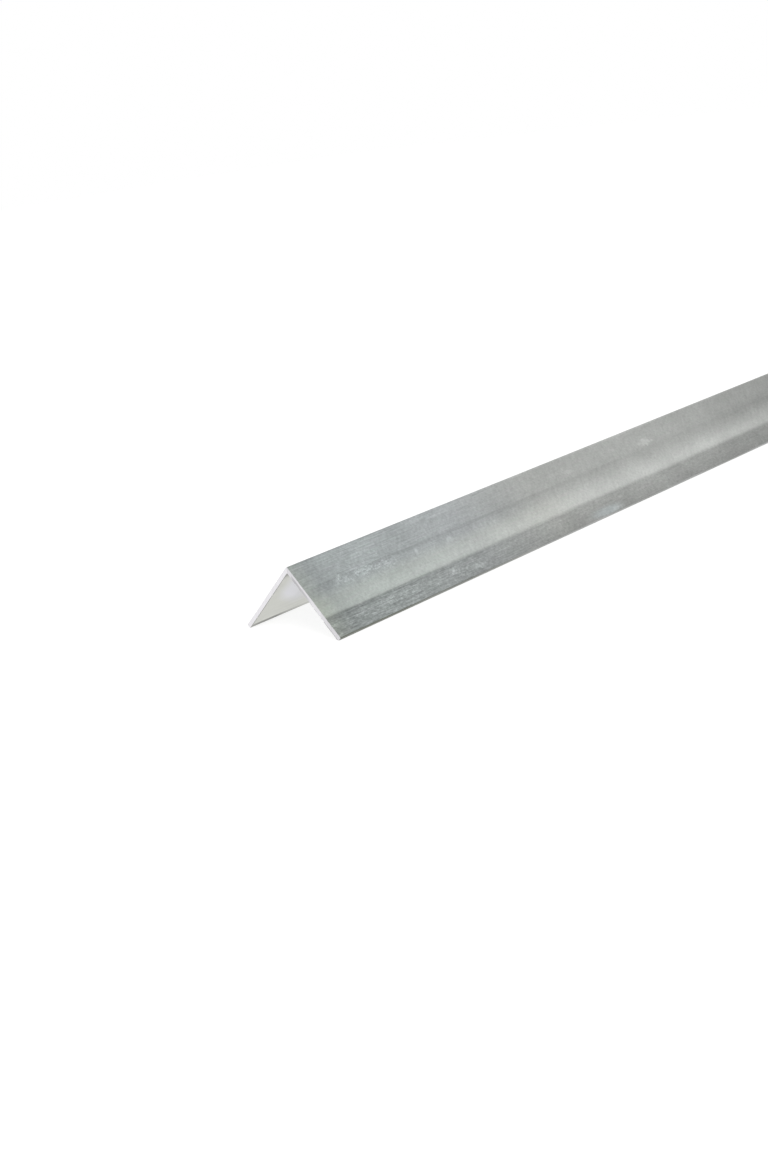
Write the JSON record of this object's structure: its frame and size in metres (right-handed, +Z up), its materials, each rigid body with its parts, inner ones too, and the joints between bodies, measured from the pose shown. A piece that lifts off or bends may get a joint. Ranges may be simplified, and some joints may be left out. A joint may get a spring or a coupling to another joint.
{
  "type": "metal angle section",
  "caption": "Straight length of equal metal angle with a thin wall, crisp heel and square sawn ends, lying heel up on its toes.",
  "frame": {"origin": "centre of the base of the bounding box, on the floor midway along the length, straight below the heel", "axes": "+X along the length, away from the end the picture shows, which is the -X end; +Z up through the heel; the front leg slopes down towards -Y and the back leg towards +Y"},
  "size_m": [1, 0.0422, 0.022],
  "materials": {
    "mill_aluminium": "mill"
  },
  "bodies": {
    "root": {"angle_section": "mill_aluminium"}
  },
  "joints": []
}
